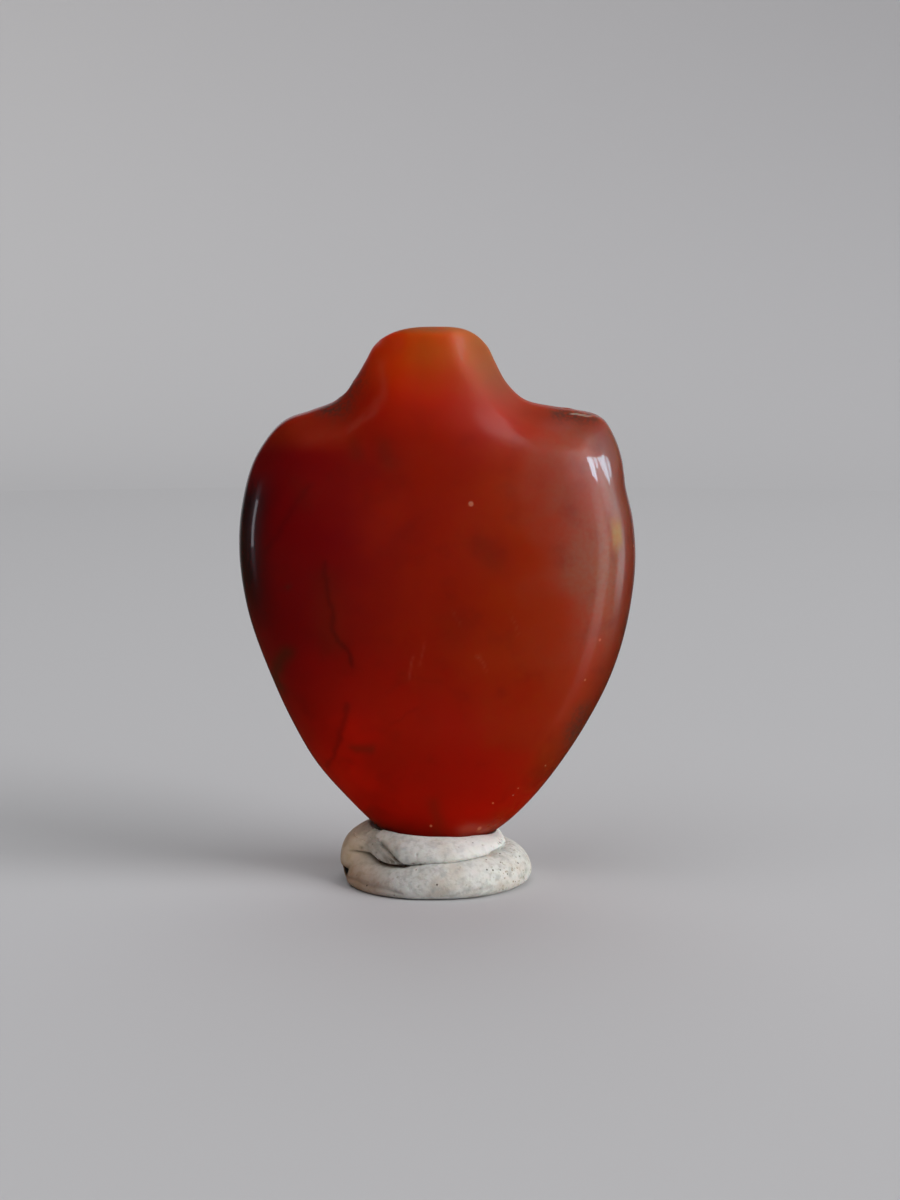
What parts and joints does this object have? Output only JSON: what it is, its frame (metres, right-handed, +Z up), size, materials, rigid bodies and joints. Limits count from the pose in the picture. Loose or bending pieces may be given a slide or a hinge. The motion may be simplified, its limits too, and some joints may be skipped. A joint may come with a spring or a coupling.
{
  "type": "heart amulet",
  "caption": "Polished carnelian heart amulet with rounded shoulders, waisted neck and flat foot, standing upright in a coil of white putty.",
  "frame": {"origin": "on the ground under the middle of the stone, where the putty coil's flat underside rests", "axes": "+X along the amulet's width to the right as seen from the front, +Y from the front face to the back, +Z up from the foot to the crown"},
  "size_m": [0.0192, 0.0091, 0.0271],
  "materials": {
    "carnelian": "polished translucent red-orange carnelian",
    "putty": "matt hand-rolled white putty"
  },
  "bodies": {
    "root": {"heart_amulet": "carnelian", "putty_coil": "putty"}
  },
  "joints": []
}
